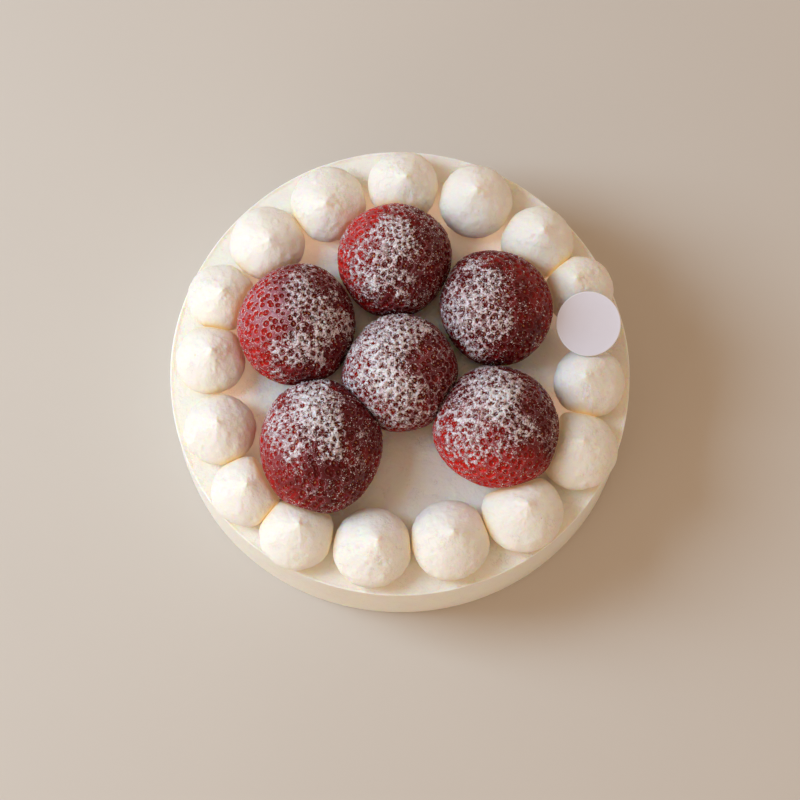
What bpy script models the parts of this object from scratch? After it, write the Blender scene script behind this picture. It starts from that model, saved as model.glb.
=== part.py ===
# Strawberry shortcake: a low round cake coated in cream, sixteen piped cream balls in a
# ring near its rim, six hulled strawberries standing tip up inside the ring, and a thin
# round label lying on two of the balls.
# Metres, +Z up. The origin is the middle of the cake's underside, +Y is the far side.

import math

import bmesh
import bpy
import numpy as np
from mathutils import Matrix, Vector
from mathutils.bvhtree import BVHTree

MM = 0.001
FULL_TURN = 2.0 * math.pi

# Clearance kept between pieces that touch
GAP = 0.30 * MM

# Cake, coated all over in cream
CAKE_RADIUS = 78.9 * MM
CAKE_OVAL = 0.7 * MM            # wider from left to right than from front to back
CAKE_LOBE = 0.4 * MM            # slight three-sided unevenness of the hand-spread side
CAKE_SHIFT = 0.4 * MM           # of the outline to the front, which centres its extents
CAKE_HEIGHT = 46.0 * MM         # from the underside to the flat of the top
FOOT_CHAMFER = 1.0 * MM
LIP_HEIGHT = 0.4 * MM           # cream left proud where side and top meet
LIP_WIDTH = 1.6 * MM
LIP_CREST = 0.5 * MM            # from the rim in to the lip's crest
LIP_SHOULDER_IN = 0.3           # place of the lip's shoulder over the way in to its crest
LIP_SHOULDER_UP = 0.4           # and over its height
CAKE_SIDES = 72

# The toppings as a whole sit this far to the front of the origin
TOPPING_SHIFT = 0.4 * MM

# Piped cream balls, each a round body drawn up into a blunt, slightly leaning cone
BALL_HEIGHT = 18.0 * MM
BALL_WAIST = 7.0 * MM           # height of the widest part
BALL_FOOT = 0.75                # width of the foot over the widest width
BALL_CONE = 1.12                # 2 is a round dome, 1 is a straight cone
BALL_SHOULDER = 1.7             # the same for the fullness under the cone
BALL_SIDES = 14
BALL_LOW_RINGS = 2
BALL_HIGH_RINGS = 5

# Each ball: bearing from +X in degrees, distance out and width in mm, then the bearing
# and the length in mm of its tip's lean
BALLS = (
    (89, 64.3, 24.6, 50, 1.5),
    (66, 64.2, 25.6, 78, 2.6),
    (43, 64.7, 25.0, 52, 3.2),
    (24, 67.8, 23.8, 125, 2.4),
    (-4, 65.5, 24.6, 159, 2.0),
    (-25, 67.0, 27.4, 46, 2.4),
    (-50, 64.7, 27.8, 31, 2.0),
    (-74, 61.9, 27.4, 58, 2.0),
    (-99, 62.7, 27.4, 29, 2.4),
    (-122, 67.0, 25.8, 50, 1.8),
    (-141, 67.5, 24.6, 65, 1.0),
    (-161, 65.2, 24.8, 117, 1.2),
    (177, 65.2, 24.2, 62, 1.4),
    (158, 66.3, 23.8, 49, 0.8),
    (136, 64.0, 26.2, -50, 1.8),
    (113, 63.5, 26.2, -107, 2.2),
)

# Hulled strawberries: name, middle x and y, width, depth and length in mm, bearing and
# angle of the tip's lean, and turn about the berry's own axis, in degrees
BERRIES = (
    ("strawberry_far", -1.9, 37.3, 38.8, 40.0, 36.0, 50, 4, 20),
    ("strawberry_left", -35.3, 14.4, 41.4, 41.4, 36.5, 80, 5, 75),
    ("strawberry_right", 32.9, 20.5, 38.8, 40.4, 36.0, 120, 5, 140),
    ("strawberry_middle", -0.1, -2.6, 39.4, 41.0, 37.5, 135, 11, 205),
    ("strawberry_front_left", -27.1, -27.7, 43.0, 46.4, 37.5, 118, 13, 260),
    ("strawberry_front_right", 33.0, -21.2, 43.8, 42.4, 36.5, 80, 13, 310),
)
BERRY_WAIST = 0.40              # height of the widest part over the length
BERRY_TIP_ROUND = 1.75          # 2 is a ball, 1 is a cone
BERRY_FOOT_ROUND = 2.5          # above 2 is a fuller shoulder round the cut foot
BERRY_SINK = 1.6 * MM           # how far the foot is pressed flat on the cream
BERRY_OVAL = 0.022              # unevenness of the berry's section
BERRY_LOBE = 0.014
PIT_COUNT = 165
PIT_DEPTH = 0.034               # depth of a seed pit over the berry's half width
GOLDEN_ANGLE = math.pi * (3.0 - math.sqrt(5.0))

# Flats where soft neighbours press on each other
PRESS_SOFTNESS = 0.55 * MM      # how gradually a ball goes over into its flat
PRESS_REACH = 4.0               # neighbours are felt this many softnesses before they touch
BERRY_SHARE = 0.12              # part of the squeeze that a berry takes from a ball

# Label, a thin round card
LABEL_WIDTH = 22.2 * MM
LABEL_THICKNESS = 0.8 * MM
LABEL_BEVEL = 0.2 * MM
LABEL_X = 64.6 * MM
LABEL_Y = 14.2 * MM
LABEL_TILT = 8.0                # degrees, its face leaning to the front
LABEL_SIDES = 40
LABEL_DROP = 40.0 * MM          # height it is lowered from
LABEL_PROBES = 12               # rings of points on its underside that feel for the cream
LABEL_RESTS_ON = (3, 4)         # places in BALLS of the two balls under it

# Colours are scene-linear
CREAM = ("cream", (0.90, 0.84, 0.72), 0.45)
CREAM_COAT = ("cream_coat", (0.87, 0.79, 0.67), 0.50)
BERRY_RED = ("strawberry_red", (0.42, 0.018, 0.022), 0.38)
CARD = ("label_card", (0.74, 0.70, 0.76), 0.42)


def clear_scene():
    for thing in list(bpy.data.objects):
        bpy.data.objects.remove(thing, do_unlink=True)


def principled(finish):
    name, colour, roughness = finish
    material = bpy.data.materials.get(name) or bpy.data.materials.new(name)
    material.use_nodes = True
    shader = material.node_tree.nodes["Principled BSDF"]
    shader.inputs["Base Color"].default_value = (*colour, 1.0)
    shader.inputs["Roughness"].default_value = roughness
    shader.inputs["Metallic"].default_value = 0.0
    material.diffuse_color = (*colour, 1.0)
    return material


def add_object(name, points, faces, finish, matrix, parent):
    """Mesh object from points in world space, with its origin and turn set by matrix."""
    to_local = np.array(matrix.inverted())
    local = points @ to_local[:3, :3].T + to_local[:3, 3]
    mesh = bpy.data.meshes.new(name)
    mesh.from_pydata(local.tolist(), [], faces)
    mesh.materials.append(principled(finish))
    shell = bmesh.new()
    shell.from_mesh(mesh)
    bmesh.ops.recalc_face_normals(shell, faces=shell.faces)
    bmesh.ops.triangulate(shell, faces=shell.faces)
    shell.to_mesh(mesh)
    shell.free()
    thing = bpy.data.objects.new(name, mesh)
    bpy.context.scene.collection.objects.link(thing)
    thing.parent = parent
    thing.matrix_world = matrix
    return thing


def ring_faces(ring_count, sides):
    """Faces of stacked rings closed by one point below and one above.

    Points run ring by ring from the bottom, then the bottom point, then the top point.
    """
    bottom = ring_count * sides
    top = bottom + 1
    faces = []
    for side in range(sides):
        after = (side + 1) % sides
        for ring in range(ring_count - 1):
            low = ring * sides
            high = low + sides
            faces.append((low + side, low + after, high + after, high + side))
        last = (ring_count - 1) * sides
        faces.append((after, side, bottom))
        faces.append((last + side, last + after, top))
    return faces


def ring_points(rings, bottom, top):
    return np.vstack([np.concatenate(rings), [bottom], [top]])


def circle(radius, height, sides):
    angle = np.arange(sides) * FULL_TURN / sides
    level = np.full(sides, height)
    return np.column_stack([radius * np.cos(angle), radius * np.sin(angle), level])


def rim_radius(angle):
    """Radius of the cake's side, a circle made slightly oval and three-sided."""
    oval = CAKE_OVAL * np.cos(2.0 * angle)
    lobes = CAKE_LOBE * np.sin(3.0 * angle)
    return CAKE_RADIUS + oval - lobes - CAKE_SHIFT * np.sin(angle)


def build_cake(parent):
    angle = np.arange(CAKE_SIDES) * FULL_TURN / CAKE_SIDES
    radius = rim_radius(angle)
    # Each ring: distance in from the rim, and height
    section = (
        (FOOT_CHAMFER, 0.0),
        (0.0, FOOT_CHAMFER),
        (0.0, CAKE_HEIGHT - LIP_HEIGHT),
        (LIP_SHOULDER_IN * LIP_CREST, CAKE_HEIGHT + LIP_SHOULDER_UP * LIP_HEIGHT),
        (LIP_CREST, CAKE_HEIGHT + LIP_HEIGHT),
        (LIP_WIDTH, CAKE_HEIGHT),
    )
    rings = [circle(radius - inset, height, CAKE_SIDES) for inset, height in section]
    points = ring_points(rings, (0.0, 0.0, 0.0), (0.0, 0.0, CAKE_HEIGHT))
    faces = ring_faces(len(section), CAKE_SIDES)
    add_object("cake", points, faces, CREAM_COAT, Matrix.Identity(4), parent)


class Topping:
    """A soft piece on the cake: its points in world space, and a ball that stands for it."""

    def __init__(self, name, points, faces, finish, matrix, middle, reach, yields):
        self.name = name
        self.points = points
        self.faces = faces
        self.finish = finish
        self.matrix = matrix
        self.middle = np.array(middle)
        self.reach = reach
        self.yields = yields


def ball_section():
    """Heights and relative radii of a cream ball's rings, from its foot to below its tip."""
    low_depth = BALL_WAIST / math.sqrt(1.0 - BALL_FOOT ** 2)
    foot_angle = math.acos(BALL_FOOT)
    section = []
    for ring in range(BALL_LOW_RINGS):
        angle = foot_angle * (1.0 - ring / BALL_LOW_RINGS)
        section.append((math.cos(angle), BALL_WAIST - low_depth * math.sin(angle)))
    for ring in range(BALL_HIGH_RINGS):
        angle = 0.5 * math.pi * ring / BALL_HIGH_RINGS
        radius = math.cos(angle) ** (2.0 / BALL_CONE)
        rise = math.sin(angle) ** (2.0 / BALL_SHOULDER)
        section.append((radius, BALL_WAIST + (BALL_HEIGHT - BALL_WAIST) * rise))
    return section


def cream_ball(number, bearing, distance, width, lean_bearing, lean):
    place = math.radians(bearing)
    across = distance * MM * math.cos(place)
    back = distance * MM * math.sin(place) - TOPPING_SHIFT
    foot = np.array((across, back, CAKE_HEIGHT + GAP))
    half = 0.5 * width * MM
    section = ball_section()
    rings = [circle(half * radius, height, BALL_SIDES) for radius, height in section]
    points = ring_points(rings, (0.0, 0.0, 0.0), (0.0, 0.0, BALL_HEIGHT))
    # The lean grows with the square of the height
    toward = math.radians(lean_bearing)
    shift = lean * MM * (points[:, 2] / BALL_HEIGHT) ** 2
    points[:, 0] += shift * math.cos(toward)
    points[:, 1] += shift * math.sin(toward)
    matrix = Matrix.Translation(foot.tolist())
    middle = foot + (0.0, 0.0, BALL_WAIST)
    faces = ring_faces(len(section), BALL_SIDES)
    return Topping(f"cream_ball_{number:02d}", points + foot, faces, CREAM, matrix,
                   middle, half, 1.0 - BERRY_SHARE)


def golden_spiral(count):
    """Directions spread evenly over a sphere, tip to foot."""
    index = np.arange(count)
    level = 1.0 - 2.0 * (index + 0.5) / count
    around = index * GOLDEN_ANGLE
    across = np.sqrt(1.0 - level ** 2)
    return np.column_stack([across * np.cos(around), across * np.sin(around), level])


def pitted_sphere():
    """Unit directions and triangles of a net whose first PIT_COUNT points are pits."""
    net = bmesh.new()
    for direction in golden_spiral(PIT_COUNT):
        net.verts.new(direction)
    bmesh.ops.convex_hull(net, input=net.verts)
    bmesh.ops.poke(net, faces=net.faces)
    net.verts.index_update()
    directions = np.array([vert.co for vert in net.verts])
    directions /= np.linalg.norm(directions, axis=1)[:, None]
    faces = [tuple(vert.index for vert in face.verts) for face in net.faces]
    net.free()
    return directions, faces


def berry_surface(directions):
    """Strawberry of unit half width and unit length: a full shoulder round the foot and a
    blunt cone up to the tip, with its widest section at height 0."""
    level = directions[:, 2]
    across = np.sqrt(np.clip(1.0 - level ** 2, 0.0, 1.0))
    angle = np.arctan2(directions[:, 1], directions[:, 0])
    above = level > 0.0
    power = np.where(above, 2.0 / BERRY_TIP_ROUND, 2.0 / BERRY_FOOT_ROUND)
    extent = np.where(above, 1.0 - BERRY_WAIST, -BERRY_WAIST)
    uneven = 1.0 + BERRY_OVAL * np.cos(2.0 * angle) + BERRY_LOBE * np.cos(3.0 * angle)
    radius = uneven * across ** power
    height = extent * np.abs(level) ** power
    return np.column_stack([radius * np.cos(angle), radius * np.sin(angle), height])


def strawberry(directions, faces, name, x, y, width, depth, length, bearing, lean, turn):
    sink = np.ones(len(directions))
    sink[:PIT_COUNT] -= PIT_DEPTH
    size = np.array((0.5 * width, 0.5 * depth, length)) * MM
    turned = np.array(Matrix.Rotation(math.radians(turn), 3, "Z"))
    points = berry_surface(directions) * sink[:, None] @ turned.T * size
    # The tip leans toward its bearing
    toward = math.radians(bearing)
    axis = (-math.sin(toward), math.cos(toward), 0.0)
    waist = CAKE_HEIGHT + GAP - BERRY_SINK + BERRY_WAIST * size[2]
    middle = (x * MM, y * MM - TOPPING_SHIFT, waist)
    matrix = Matrix.Translation(middle) @ Matrix.Rotation(math.radians(lean), 4, axis)
    frame = np.array(matrix)
    world = points @ frame[:3, :3].T + frame[:3, 3]
    reach = 0.5 * (size[0] + size[1])
    return Topping(name, world, faces, BERRY_RED, matrix, middle, reach, BERRY_SHARE)


def hold_back(points, origin, normal, clearance):
    """Move points softly to the side of a plane that normal points to."""
    depth = (points - origin) @ normal - clearance
    held = PRESS_SOFTNESS * np.logaddexp(0.0, depth / PRESS_SOFTNESS)
    return points + (held - depth)[:, None] * normal


def press_together(toppings):
    """Flatten each pair of neighbours at a shared plane, half the gap on either side."""
    for one in toppings:
        for other in toppings:
            if one is other:
                continue
            away = one.middle - other.middle
            distance = np.linalg.norm(away)
            overlap = one.reach + other.reach - distance
            if overlap < -PRESS_REACH * PRESS_SOFTNESS:
                continue
            normal = away / distance
            share = one.yields / (one.yields + other.yields)
            meeting = one.middle - normal * (one.reach - share * overlap)
            one.points = hold_back(one.points, meeting, normal, 0.5 * GAP)


def stand_on_cream(topping):
    """Press a berry's foot flat, a gap above the cake's top."""
    level = np.array((0.0, 0.0, CAKE_HEIGHT))
    topping.points = hold_back(topping.points, level, np.array((0.0, 0.0, 1.0)), GAP)


def drop_height(toppings, middle, tilt, radius):
    """How far above middle a tilted disc, let straight down, comes to rest."""
    trees = [BVHTree.FromPolygons(topping.points.tolist(), topping.faces)
             for topping in toppings]
    down = Vector((0.0, 0.0, -1.0))
    lift = 0.0
    for ring in range(1, LABEL_PROBES + 1):
        for x, y, z in circle(radius * ring / LABEL_PROBES, 0.0, LABEL_SIDES):
            start = middle + tilt.to_3x3() @ Vector((x, y, z)) - down * LABEL_DROP
            for tree in trees:
                found = tree.ray_cast(start, down)
                if found[0] is not None:
                    lift = max(lift, LABEL_DROP - found[3])
    return lift


def build_label(balls, parent):
    """Label card, laid as low as it can be over the balls that carry it."""
    tilt = Matrix.Rotation(math.radians(LABEL_TILT), 4, "X")
    middle = Vector((LABEL_X, LABEL_Y - TOPPING_SHIFT, CAKE_HEIGHT))
    under = [balls[place] for place in LABEL_RESTS_ON]
    lift = drop_height(under, middle, tilt, 0.5 * LABEL_WIDTH)
    middle.z += lift + GAP / math.cos(math.radians(LABEL_TILT))
    matrix = Matrix.Translation(middle) @ tilt
    half = 0.5 * LABEL_WIDTH
    section = (
        (half - LABEL_BEVEL, 0.0),
        (half, LABEL_BEVEL),
        (half, LABEL_THICKNESS - LABEL_BEVEL),
        (half - LABEL_BEVEL, LABEL_THICKNESS),
    )
    rings = [circle(radius, height, LABEL_SIDES) for radius, height in section]
    points = ring_points(rings, (0.0, 0.0, 0.0), (0.0, 0.0, LABEL_THICKNESS))
    frame = np.array(matrix)
    world = points @ frame[:3, :3].T + frame[:3, 3]
    faces = ring_faces(len(section), LABEL_SIDES)
    add_object("label_disc", world, faces, CARD, matrix, parent)


def build():
    clear_scene()
    parent = bpy.data.objects.new("strawberry_shortcake", None)
    bpy.context.scene.collection.objects.link(parent)
    build_cake(parent)
    balls = [cream_ball(number, *row) for number, row in enumerate(BALLS, 1)]
    directions, faces = pitted_sphere()
    berries = [strawberry(directions, faces, *row) for row in BERRIES]
    press_together(balls + berries)
    for berry in berries:
        stand_on_cream(berry)
    for topping in balls + berries:
        add_object(topping.name, topping.points, topping.faces, topping.finish,
                   topping.matrix, parent)
    build_label(balls, parent)


build()
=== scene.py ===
import math
import bpy
import numpy as np
from mathutils import Matrix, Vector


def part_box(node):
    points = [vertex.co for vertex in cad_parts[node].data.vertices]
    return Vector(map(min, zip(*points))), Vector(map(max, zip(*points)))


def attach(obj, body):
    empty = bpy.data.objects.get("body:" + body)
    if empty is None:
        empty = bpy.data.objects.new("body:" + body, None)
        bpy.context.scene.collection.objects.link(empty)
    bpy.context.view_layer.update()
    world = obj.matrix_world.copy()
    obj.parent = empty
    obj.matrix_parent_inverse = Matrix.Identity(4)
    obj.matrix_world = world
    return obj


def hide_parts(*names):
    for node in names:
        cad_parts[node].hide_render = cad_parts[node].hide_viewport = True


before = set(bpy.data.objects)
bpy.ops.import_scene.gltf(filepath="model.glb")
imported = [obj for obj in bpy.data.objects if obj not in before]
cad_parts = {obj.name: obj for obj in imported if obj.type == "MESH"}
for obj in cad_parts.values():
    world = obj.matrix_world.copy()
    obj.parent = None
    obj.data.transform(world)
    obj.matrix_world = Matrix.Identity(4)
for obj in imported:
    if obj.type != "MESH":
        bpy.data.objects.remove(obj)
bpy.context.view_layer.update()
mm = 0.001
fullTurn = 2.0 * math.pi
latticeFactors = np.array((73856093, 19349663, 83492791))


# value noise: random numbers on a cubic lattice of the given cell size, joined by smooth steps
def latticeNoise(points, cellSize, seed):
    cell = points / cellSize + 11.3 * seed
    low = np.floor(cell)
    part = cell - low
    part = part * part * (3.0 - 2.0 * part)
    low = low.astype(np.int64)
    total = np.zeros(len(points))
    for corner in np.ndindex(2, 2, 2):
        key = (low + corner) @ latticeFactors + seed * 1013
        key = (key ^ (key >> 13)) * 1274126177
        key = key ^ (key >> 16)
        weight = np.where(corner, part, 1.0 - part).prod(axis=1)
        total += weight * (key & 0xffff) / 65535.0
    return 2.0 * total - 1.0


# each octave halves the cell and the strength
def layeredNoise(points, cellSize, seed, octaves):
    layers = [latticeNoise(points, cellSize / 2 ** step, seed + step) / 2 ** step
              for step in range(octaves)]
    return np.sum(layers, axis=0)


# layered noise less a level, times a depth, from a pair of depth and cell size
def roughness(settings, points, seed, octaves, level=0.0):
    depth, cellSize = settings
    return depth * (layeredNoise(points, cellSize, seed, octaves) - level)


# 0 up to low, 1 from high on, and three squares less two cubes of the share between them
def smoothStep(value, low, high):
    part = np.clip((value - low) / (high - low), 0.0, 1.0)
    return part * part * (3.0 - 2.0 * part)


# a section of radii and levels, from the top down, turned round in even steps counter-clockwise
def turnSection(radius, level, columns, wide=1.0, deep=1.0):
    angle = np.arange(columns) * fullTurn / columns
    return np.stack([wide * radius[:, None] * np.cos(angle), deep * radius[:, None] * np.sin(angle),
                     np.repeat(level[:, None], columns, axis=1)], axis=-1).reshape(-1, 3)


# quads of rows that close round, plus fans to a first pole point and a last one;
# rows run from the top down, columns counter-clockwise seen from above
def closedGrid(rows, columns):
    column = np.arange(columns)
    after = (column + 1) % columns
    start = np.arange(rows - 1)[:, None] * columns
    quads = np.stack([start + column, start + columns + column,
                      start + columns + after, start + after], axis=-1).reshape(-1, 4)
    top = np.full(columns, rows * columns)
    last = (rows - 1) * columns
    fans = np.concatenate([np.stack([top, column, after], axis=-1),
                           np.stack([top + 1, last + after, last + column], axis=-1)])
    return quads, fans


# outward normals of a closed grid: the cross product of its differences down and round
def gridNormals(points, rows, columns):
    body = points[:rows * columns].reshape(rows, columns, 3)
    top = np.broadcast_to(points[-2], (1, columns, 3))
    bottom = np.broadcast_to(points[-1], (1, columns, 3))
    tall = np.concatenate([top, body, bottom])
    down = tall[2:] - tall[:-2]
    around = np.roll(body, -1, axis=1) - np.roll(body, 1, axis=1)
    normals = np.cross(down, around).reshape(-1, 3)
    poles = np.stack([body[0].mean(axis=0) - body[1].mean(axis=0),
                      body[-1].mean(axis=0) - body[-2].mean(axis=0)])
    normals = np.concatenate([normals, poles])
    return normals / np.linalg.norm(normals, axis=1)[:, None].clip(1e-12)


def addObject(name, data):
    made = bpy.data.objects.new(name, data)
    bpy.context.scene.collection.objects.link(made)
    return made


# mesh object from whole arrays in millimetres, with one float attribute per named array
def addPiece(name, points, faces, material, attributes, node=None):
    quads, fans = faces
    mesh = bpy.data.meshes.new(name)
    sizes = np.concatenate([np.full(len(quads), 4), np.full(len(fans), 3)]).astype(np.int32)
    corners = np.concatenate([quads.ravel(), fans.ravel()]).astype(np.int32)
    mesh.vertices.add(len(points))
    mesh.vertices.foreach_set("co", np.ascontiguousarray(points * mm, np.float32).ravel())
    mesh.loops.add(len(corners))
    mesh.loops.foreach_set("vertex_index", corners)
    mesh.polygons.add(len(sizes))
    mesh.polygons.foreach_set("loop_start", np.cumsum(sizes) - sizes)
    mesh.polygons.foreach_set("use_smooth", np.ones(len(sizes), bool))
    for label, values in attributes.items():
        layer = mesh.attributes.new(label, "FLOAT", "POINT")
        layer.data.foreach_set("value", np.ascontiguousarray(values, np.float32))
    mesh.update(calc_edges=True)
    mesh.validate()
    mesh.materials.append(material)
    piece = addObject(name, mesh)
    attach(piece, "root")
    if node:
        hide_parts(node)


cakeForm = {
    "radius": 78.9, "oval": 0.7, "lobe": 0.4, "shift": 0.4, "height": 46.0,
    "lipHeight": 0.4, "lipCrest": 0.5, "lipWidth": 1.6, "footRound": 1.0,
    "columns": 620, "topRows": 74, "lipRows": 22, "sideRows": 36, "underRows": 8,
    # roughness, each its depth and the size of its cells: two along the lip, then the spatula's
    # strokes, slow swells and the crumbly edge of the top
    "ragged": (0.45, 9.0), "frayed": (0.3, 1.6), "strokes": (0.16, 3.2), "swells": (0.25, 22.0),
    "crumbs": (0.07, 1.3), "crumbsFrom": (60.0, 72.0), "topShare": 0.6, "limits": (-1.2, 0.12),
    # small crumbs of cream on the near rim: place, half width and height
    "lumps": ((-11.6, -77.2, 1.2, 0.55), (-9.6, -77.6, 0.8, 0.4), (1.7, -78.2, 0.9, 0.35),
              (4.5, -78.0, 0.7, 0.25), (19.5, -75.6, 1.0, 0.4), (22.6, -74.6, 1.1, 0.5),
              (-30.0, -71.9, 0.9, 0.3), (37.0, -68.4, 0.9, 0.3)),
    # painted warm shade round the feet of balls and berries, the reach over which it fades, a berry
    # foot's share of its width, and the faint painted shade on the side wall
    "ballShade": 0.75, "berryShade": 0.5, "shadeReach": 1.8, "berryFoot": 0.72, "wallShade": 0.1,
    # painted glow of the gaps: reach, a berry's share, where the sum of nearness starts and is
    # full, and the limits outward and to the front
    "glowReach": 6.5, "berryGlow": 0.4, "glowFrom": (0.7, 1.9), "glowInside": (60.0, 70.0),
    "glowBehind": (-42.0, -15.0),
}

# bearing from +X and distance out of each cream ball, its width, then its tip's lean
creamBalls = {
    "rows": ((89, 64.3, 24.6, 50, 1.5), (66, 64.2, 25.6, 78, 2.6), (43, 64.7, 25.0, 52, 3.2),
             (24, 67.8, 23.8, 125, 2.4), (-4, 65.5, 24.6, 159, 2.0), (-25, 67.0, 27.4, 46, 2.4),
             (-50, 64.7, 27.8, 31, 2.0), (-74, 61.9, 27.4, 58, 2.0), (-99, 62.7, 27.4, 29, 2.4),
             (-122, 67.0, 25.8, 50, 1.8), (-141, 67.5, 24.6, 65, 1.0),
             (-161, 65.2, 24.8, 117, 1.2), (177, 65.2, 24.2, 62, 1.4), (158, 66.3, 23.8, 49, 0.8),
             (136, 64.0, 26.2, -50, 1.8), (113, 63.5, 26.2, -107, 2.2)),
    "height": 18.0, "waist": 7.0, "foot": 0.75, "cone": 1.12, "shoulder": 1.7,
    "gridRows": 62, "gridColumns": 128,
    # waves and streaks, each its depth and the size of its cells, and the dents
    "waves": (0.3, 7.5), "streaks": (0.16, 1.8), "streakStretch": 0.35,
    "dents": 14, "dentDepth": 0.24, "dentSize": (0.4, 1.0), "dentEdge": 0.07, "yields": 0.88,
    # the tip's rise and reach; painted crevice shade near the flats against neighbours, and its
    # amount and reach up from the foot
    "tipRise": 0.7, "tipReach": 1.5, "shadeReach": 1.1, "footShade": 0.75, "footShadeReach": 1.6,
    "markDepth": 0.28, "markEdge": 0.06,
    # small hollows by ball: offset from its middle, and half width
    "marks": {1: ((1.0, -0.6, 1.1),), 2: ((0.8, 3.4, 0.9), (2.2, 3.0, 0.7)),
              3: ((-1.5, 0.4, 0.8), (-3.6, -2.0, 0.9)), 5: ((-1.2, 1.4, 0.8),),
              8: ((-5.8, -4.6, 0.7), (6.6, -4.7, 0.8), (0.3, 5.2, 0.8)),
              9: ((-4.4, -1.0, 0.9), (-1.0, -6.5, 0.8)), 10: ((2.6, 2.4, 0.9),),
              16: ((3.0, 0.6, 0.8), (3.8, -1.2, 0.6))},
}

strawberries = {
    "waist": 0.40, "tipRound": 1.75, "footRound": 2.5, "sink": 1.6, "oval": 0.022, "lobe": 0.014,
    "pitSpacing": 3.0, "pitDepth": 0.72, "pitFloor": 0.18, "pitRim": 0.43, "pitLength": 0.4,
    "pitSizes": (0.72, 1.2), "jitter": 0.15, "crestHeight": 0.1, "crestWidth": 0.16,
    # also how much brighter the flesh gets toward the foot, and where the brighter flank, partly
    # painted light, starts and is full
    "bumps": (0.22, 9.0), "sugarThickness": 0.24, "sugarLumps": 0.9, "lowerBright": 0.16,
    "flankFrom": (-4.0, 19.0), "seedsAbove": -0.75, "grainsEach": 4000,
    # the fall of the sugar: its slope and the height it is measured at, then its strength
    "fallSlope": 0.176, "fallLevel": 65.0, "sugar": 0.94, "sugarPatches": 0.24, "filmPatches": 0.12,
    "gridRows": 232, "gridColumns": 424, "yields": 0.12,
}

# each berry's middle, size, lean bearing and angle, and turn; the bearing and brightness of its
# brighter flank, partly riper flesh and partly painted light; how much sugar lies everywhere, the
# thin film's amount and patches, then heaped and bare patches; a patch is its offset from the
# middle along the fall, reach and amount
berries = {
    "far": ((-1.9, 37.3, 38.8, 40.0, 36.0, 50, 4, 20), (150, 0.85),
            0.05, 0.1, ((-8.0, 4.0, 9.0, 0.4),), (
        (2.4, 6.0, 6.0, 0.95), (-3.4, 11.9, 5.0, 0.4), (-11.0, 2.3, 8.0, 0.58),
        (-6.7, -9.3, 6.5, 0.75), (2.4, -7.4, 4.0, 0.35), (6.0, -13.0, 5.0, 0.2))),
    "left": ((-35.3, 14.4, 41.4, 41.4, 36.5, 80, 5, 75), (180, 0.72),
             0.03, 0.12, ((-9.0, 4.0, 11.0, 0.9),), (
        (1.0, 6.9, 5.0, 0.35), (10.0, 0.0, 12.0, 0.53), (-3.4, -11.0, 7.0, 0.45),
        (5.3, -10.0, 6.0, 0.25), (3.0, 14.0, 7.0, 0.3))),
    "right": ((32.9, 20.5, 38.8, 40.4, 36.0, 120, 5, 140), (40, 0.2),
              0.04, 0.06, ((-8.0, 0.0, 9.0, 0.3),), (
        (-7.7, 2.2, 9.5, 0.75), (-12.5, -5.0, 6.0, 0.35), (-7.7, -13.7, 6.0, 0.5),
        (0.0, -9.0, 5.0, 0.35), (-4.0, 12.0, 6.0, 0.3))),
    "middle": ((-0.1, -2.6, 39.4, 41.0, 37.5, 135, 11, 205), (200, 0.3), 0.37, 0.25, (), (
        (-9.0, 3.0, 10.5, 0.65), (0.5, 14.0, 7.0, 0.45), (-4.0, -7.0, 7.0, 0.45),
        (2.0, 3.5, 3.5, -0.35), (10.0, 9.0, 4.5, -0.2), (12.5, 0.5, 5.5, -0.35))),
    "front_left": ((-27.1, -27.7, 43.0, 46.4, 37.5, 118, 13, 260), (180, 0.45),
                   0.05, 0.06, ((-13.0, 3.0, 9.0, 0.6),), (
        (-2.9, 16.6, 8.0, 0.85), (-1.9, 7.9, 7.0, 0.95), (4.8, -1.2, 4.5, 0.75),
        (6.0, 5.5, 4.0, 0.35), (-15.0, 7.0, 9.0, 0.5), (-11.0, -2.0, 5.0, 0.35),
        (-6.7, -8.9, 2.0, 0.5), (-4.3, -12.3, 2.0, 0.4))),
    "front_right": ((33.0, -21.2, 43.8, 42.4, 36.5, 80, 13, 310), (240, 0.75),
                    0.14, 0.14, ((-8.0, 3.0, 12.0, 0.4),), (
        (1.5, 9.1, 5.5, 1.0), (-1.0, 4.8, 3.5, 0.6), (-11.5, 3.0, 9.0, 0.55),
        (2.0, -8.0, 6.5, 0.28), (-3.0, 15.4, 8.0, 0.5), (-11.5, -5.3, 6.0, 0.45),
        (-9.0, -13.0, 4.0, 0.35), (7.0, -3.0, 6.0, 0.25))),
}

# how far all toppings sit to the front, how softly they press, and the gap they keep
toppingShift = 0.4
pressSoftness = 0.55
pressGap = 0.05


# radius of the side: a circle made slightly oval and three-sided, and moved to the front
def rimRadius(angle):
    form = cakeForm
    return (form["radius"] + form["oval"] * np.cos(2.0 * angle)
            - form["lobe"] * np.sin(3.0 * angle) - form["shift"] * np.sin(angle))


# the ball that stands for each topping, for the flats where soft neighbours press
def toppingBalls():
    places = {}
    for number, row in enumerate(creamBalls["rows"], 1):
        bearing, distance, width = row[:3]
        angle = math.radians(bearing)
        middle = np.array((distance * math.cos(angle), distance * math.sin(angle) - toppingShift,
                           cakeForm["height"] + creamBalls["waist"]))
        places[f"cream_ball_{number:02d}"] = (middle, 0.5 * width, creamBalls["yields"])
    for name, row in berries.items():
        x, y, width, depth, length = row[0][:5]
        waist = cakeForm["height"] - strawberries["sink"] + strawberries["waist"] * length
        middle = np.array((x, y - toppingShift, waist))
        places[f"strawberry_{name}"] = (middle, 0.25 * (width + depth), strawberries["yields"])
    return places


places = toppingBalls()


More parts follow.
